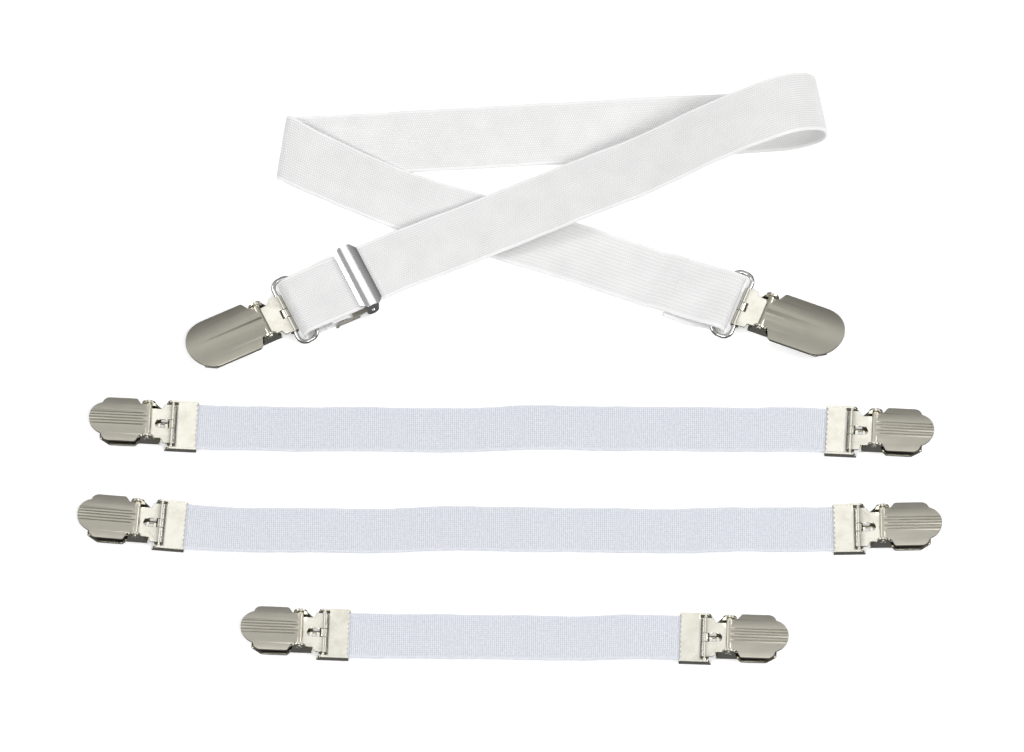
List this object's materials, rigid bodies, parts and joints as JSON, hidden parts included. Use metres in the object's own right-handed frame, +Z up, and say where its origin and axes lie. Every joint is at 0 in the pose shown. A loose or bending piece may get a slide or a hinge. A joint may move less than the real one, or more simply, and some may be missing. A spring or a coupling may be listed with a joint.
{
  "type": "suspenders",
  "caption": "Set of white elastic suspender straps with nickel clips: one long adjustable strap and short clip-on straps, laid flat.",
  "frame": {"origin": "centre of the laid-out set's outline, on the surface that it lies on", "axes": "+X along the short straps, to the right; +Y away, towards the long strap; +Z up"},
  "size_m": [0.3446, 0.2522, 0.0306],
  "materials": {
    "broad_elastic": "white woven elastic, fine twill face",
    "narrow_elastic": "cool white ribbed elastic",
    "pad": "matt dark grip pad",
    "bright_nickel": "bright polished nickel plate",
    "satin_nickel": "satin brushed nickel plate",
    "nickel": "polished nickel plate"
  },
  "bodies": {
    "long_strap": {"long_band": "broad_elastic"},
    "ring_loop": {"ring_loop_band": "broad_elastic"},
    "adjuster": {"slide_frame": "bright_nickel", "slide_pin": "nickel"},
    "adjuster_lever": {"slide_lever": "nickel", "folded_end": "broad_elastic"},
    "long_left_ring": {"long_left_ring": "nickel"},
    "long_right_ring": {"long_right_ring": "nickel"},
    "upper_left_end": {"upper_left_end_frame": "nickel", "upper_band": "narrow_elastic"},
    "upper_right_end": {"upper_right_end_frame": "nickel"},
    "middle_left_end": {"middle_left_end_frame": "nickel", "middle_band": "narrow_elastic"},
    "middle_right_end": {"middle_right_end_frame": "nickel"},
    "lower_left_end": {"lower_left_end_frame": "nickel", "lower_band": "narrow_elastic"},
    "lower_right_end": {"lower_right_end_frame": "nickel"},
    "long_left_clip": {"long_left_lower_jaw": "nickel", "long_left_pivot_pin": "nickel", "long_left_jaw_pad": "pad"},
    "long_left_cover": {"long_left_cover": "satin_nickel"},
    "long_left_upper_jaw": {"long_left_upper_jaw": "nickel"},
    "long_right_clip": {"long_right_lower_jaw": "nickel", "long_right_pivot_pin": "nickel", "long_right_jaw_pad": "pad"},
    "long_right_cover": {"long_right_cover": "satin_nickel"},
    "long_right_upper_jaw": {"long_right_upper_jaw": "nickel"},
    "upper_left_clip": {"upper_left_lower_jaw": "nickel", "upper_left_pivot_pin": "nickel", "upper_left_jaw_pad": "pad"},
    "upper_left_cover": {"upper_left_cover": "satin_nickel"},
    "upper_left_upper_jaw": {"upper_left_upper_jaw": "nickel"},
    "upper_right_clip": {"upper_right_lower_jaw": "nickel", "upper_right_pivot_pin": "nickel", "upper_right_jaw_pad": "pad"},
    "upper_right_cover": {"upper_right_cover": "satin_nickel"},
    "upper_right_upper_jaw": {"upper_right_upper_jaw": "nickel"},
    "middle_left_clip": {"middle_left_lower_jaw": "nickel", "middle_left_pivot_pin": "nickel", "middle_left_jaw_pad": "pad"},
    "middle_left_cover": {"middle_left_cover": "satin_nickel"},
    "middle_left_upper_jaw": {"middle_left_upper_jaw": "nickel"},
    "middle_right_clip": {"middle_right_lower_jaw": "nickel", "middle_right_pivot_pin": "nickel", "middle_right_jaw_pad": "pad"},
    "middle_right_cover": {"middle_right_cover": "satin_nickel"},
    "middle_right_upper_jaw": {"middle_right_upper_jaw": "nickel"},
    "lower_left_clip": {"lower_left_lower_jaw": "nickel", "lower_left_pivot_pin": "nickel", "lower_left_jaw_pad": "pad"},
    "lower_left_cover": {"lower_left_cover": "satin_nickel"},
    "lower_left_upper_jaw": {"lower_left_upper_jaw": "nickel"},
    "lower_right_clip": {"lower_right_lower_jaw": "nickel", "lower_right_pivot_pin": "nickel", "lower_right_jaw_pad": "pad"},
    "lower_right_cover": {"lower_right_cover": "satin_nickel"},
    "lower_right_upper_jaw": {"lower_right_upper_jaw": "nickel"}
  },
  "joints": [
    {"name": "ring_end_travel", "type": "slide", "parent": "long_strap", "child": "ring_loop", "axis": [0.9026, 0.4305, 0], "range_m": [0, 0.006], "deforming": ["ring_loop_band"]},
    {"name": "adjuster_travel", "type": "slide", "parent": "ring_loop", "child": "adjuster", "axis": [0.9026, 0.4305, 0], "range_m": [0, 0.006]},
    {"name": "adjuster_lever_turn", "type": "hinge", "parent": "adjuster", "child": "adjuster_lever", "pos_m": [-0.06067, 0.04071, 0.0036], "axis": [0.4305, -0.9026, 0], "range_deg": [0, 60]},
    {"name": "long_left_ring_turn", "type": "hinge", "parent": "ring_loop", "child": "long_left_ring", "pos_m": [-0.08225, 0.03041, 0.00363], "axis": [-0.4305, 0.9026, 0], "range_deg": [-10, 30]},
    {"name": "long_right_ring_turn", "type": "hinge", "parent": "long_strap", "child": "long_right_ring", "pos_m": [0.08534, 0.03295, 0.0026], "axis": [-0.3616, -0.9323, 0], "range_deg": [-10, 30]},
    {"name": "upper_strap_lift", "type": "slide", "parent": "long_strap", "child": "upper_left_end", "axis": [0, 0, 1], "range_m": [0, 0.06]},
    {"name": "upper_band_stretch", "type": "slide", "parent": "upper_left_end", "child": "upper_right_end", "axis": [1, 0, 0], "range_m": [0, 0.1003], "stiffness_N_per_m": 80, "deforming": ["upper_band"]},
    {"name": "middle_strap_lift", "type": "slide", "parent": "long_strap", "child": "middle_left_end", "axis": [0, 0, 1], "range_m": [0, 0.06]},
    {"name": "middle_band_stretch", "type": "slide", "parent": "middle_left_end", "child": "middle_right_end", "axis": [1, 0, 0], "range_m": [0, 0.1032], "stiffness_N_per_m": 80, "deforming": ["middle_band"]},
    {"name": "lower_strap_lift", "type": "slide", "parent": "long_strap", "child": "lower_left_end", "axis": [0, 0, 1], "range_m": [0, 0.06]},
    {"name": "lower_band_stretch", "type": "slide", "parent": "lower_left_end", "child": "lower_right_end", "axis": [1, 0, 0], "range_m": [0, 0.0525], "stiffness_N_per_m": 80, "deforming": ["lower_band"]},
    {"name": "long_left_clip_swivel", "type": "hinge", "parent": "long_left_ring", "child": "long_left_clip", "pos_m": [-0.08946, 0.02698, 0.00175], "axis": [-0.4305, 0.9026, 0], "range_deg": [-60, 60]},
    {"name": "long_left_cover_open", "type": "hinge", "parent": "long_left_clip", "child": "long_left_cover", "pos_m": [-0.09885, 0.0225, 0.0058], "axis": [-0.4305, 0.9026, 0], "range_deg": [0, 95]},
    {"name": "long_left_upper_jaw_open", "type": "hinge", "parent": "long_left_clip", "child": "long_left_upper_jaw", "pos_m": [-0.08946, 0.02698, 0.00175], "axis": [-0.4305, 0.9026, 0], "range_deg": [0, 4.9]},
    {"name": "long_right_clip_swivel", "type": "hinge", "parent": "long_right_ring", "child": "long_right_clip", "pos_m": [0.09294, 0.03001, 0.00175], "axis": [-0.3616, -0.9323, 0], "range_deg": [-60, 60]},
    {"name": "long_right_cover_open", "type": "hinge", "parent": "long_right_clip", "child": "long_right_cover", "pos_m": [0.10264, 0.02624, 0.0058], "axis": [-0.3616, -0.9323, 0], "range_deg": [0, 95]},
    {"name": "long_right_upper_jaw_open", "type": "hinge", "parent": "long_right_clip", "child": "long_right_upper_jaw", "pos_m": [0.09294, 0.03001, 0.00175], "axis": [-0.3616, -0.9323, 0], "range_deg": [0, 4.9]},
    {"name": "upper_left_clip_swivel", "type": "hinge", "parent": "upper_left_end", "child": "upper_left_clip", "pos_m": [-0.13485, -0.02197, 0.00175], "axis": [0.0523, 0.9986, 0], "range_deg": [-60, 90]},
    {"name": "upper_left_cover_open", "type": "hinge", "parent": "upper_left_clip", "child": "upper_left_cover", "pos_m": [-0.14444, -0.02147, 0.0058], "axis": [0.0523, 0.9986, 0], "range_deg": [0, 110]},
    {"name": "upper_left_upper_jaw_open", "type": "hinge", "parent": "upper_left_clip", "child": "upper_left_upper_jaw", "pos_m": [-0.13485, -0.02197, 0.00175], "axis": [0.0523, 0.9986, 0], "range_deg": [0, 5.6]},
    {"name": "upper_right_clip_swivel", "type": "hinge", "parent": "upper_right_end", "child": "upper_right_clip", "pos_m": [0.13632, -0.02461, 0.00175], "axis": [-0.0523, -0.9986, 0], "range_deg": [-60, 90]},
    {"name": "upper_right_cover_open", "type": "hinge", "parent": "upper_right_clip", "child": "upper_right_cover", "pos_m": [0.14591, -0.02511, 0.0058], "axis": [-0.0523, -0.9986, 0], "range_deg": [0, 110]},
    {"name": "upper_right_upper_jaw_open", "type": "hinge", "parent": "upper_right_clip", "child": "upper_right_upper_jaw", "pos_m": [0.13632, -0.02461, 0.00175], "axis": [-0.0523, -0.9986, 0], "range_deg": [0, 5.6]},
    {"name": "middle_left_clip_swivel", "type": "hinge", "parent": "middle_left_end", "child": "middle_left_clip", "pos_m": [-0.13923, -0.06549, 0.00175], "axis": [0.0872, 0.9962, 0], "range_deg": [-60, 90]},
    {"name": "middle_left_cover_open", "type": "hinge", "parent": "middle_left_clip", "child": "middle_left_cover", "pos_m": [-0.14879, -0.06465, 0.0058], "axis": [0.0872, 0.9962, 0], "range_deg": [0, 110]},
    {"name": "middle_left_upper_jaw_open", "type": "hinge", "parent": "middle_left_clip", "child": "middle_left_upper_jaw", "pos_m": [-0.13923, -0.06549, 0.00175], "axis": [0.0872, 0.9962, 0], "range_deg": [0, 5.6]},
    {"name": "middle_right_clip_swivel", "type": "hinge", "parent": "middle_right_end", "child": "middle_right_clip", "pos_m": [0.13913, -0.06725, 0.00175], "axis": [0.0175, -0.9998, 0], "range_deg": [-60, 90]},
    {"name": "middle_right_cover_open", "type": "hinge", "parent": "middle_right_clip", "child": "middle_right_cover", "pos_m": [0.14873, -0.06708, 0.0058], "axis": [0.0175, -0.9998, 0], "range_deg": [0, 110]},
    {"name": "middle_right_upper_jaw_open", "type": "hinge", "parent": "middle_right_clip", "child": "middle_right_upper_jaw", "pos_m": [0.13913, -0.06725, 0.00175], "axis": [0.0175, -0.9998, 0], "range_deg": [0, 5.6]},
    {"name": "lower_left_clip_swivel", "type": "hinge", "parent": "lower_left_end", "child": "lower_left_clip", "pos_m": [-0.07386, -0.11339, 0.00175], "axis": [0.0436, 0.999, 0], "range_deg": [-60, 90]},
    {"name": "lower_left_cover_open", "type": "hinge", "parent": "lower_left_clip", "child": "lower_left_cover", "pos_m": [-0.08345, -0.11297, 0.0058], "axis": [0.0436, 0.999, 0], "range_deg": [0, 110]},
    {"name": "lower_left_upper_jaw_open", "type": "hinge", "parent": "lower_left_clip", "child": "lower_left_upper_jaw", "pos_m": [-0.07386, -0.11339, 0.00175], "axis": [0.0436, 0.999, 0], "range_deg": [0, 5.6]},
    {"name": "lower_right_clip_swivel", "type": "hinge", "parent": "lower_right_end", "child": "lower_right_clip", "pos_m": [0.07773, -0.11537, 0.00175], "axis": [-0.0349, -0.9994, 0], "range_deg": [-60, 90]},
    {"name": "lower_right_cover_open", "type": "hinge", "parent": "lower_right_clip", "child": "lower_right_cover", "pos_m": [0.08732, -0.11571, 0.0058], "axis": [-0.0349, -0.9994, 0], "range_deg": [0, 110]},
    {"name": "lower_right_upper_jaw_open", "type": "hinge", "parent": "lower_right_clip", "child": "lower_right_upper_jaw", "pos_m": [0.07773, -0.11537, 0.00175], "axis": [-0.0349, -0.9994, 0], "range_deg": [0, 5.6]}
  ],
  "couplings": [
    {"joint": "adjuster_travel", "follows": "ring_end_travel", "ratio": 1},
    {"joint": "long_left_upper_jaw_open", "follows": "long_left_cover_open", "ratio": 0.05},
    {"joint": "long_right_upper_jaw_open", "follows": "long_right_cover_open", "ratio": 0.05},
    {"joint": "upper_left_upper_jaw_open", "follows": "upper_left_cover_open", "ratio": 0.05},
    {"joint": "upper_right_upper_jaw_open", "follows": "upper_right_cover_open", "ratio": 0.05},
    {"joint": "middle_left_upper_jaw_open", "follows": "middle_left_cover_open", "ratio": 0.05},
    {"joint": "middle_right_upper_jaw_open", "follows": "middle_right_cover_open", "ratio": 0.05},
    {"joint": "lower_left_upper_jaw_open", "follows": "lower_left_cover_open", "ratio": 0.05},
    {"joint": "lower_right_upper_jaw_open", "follows": "lower_right_cover_open", "ratio": 0.05}
  ]
}
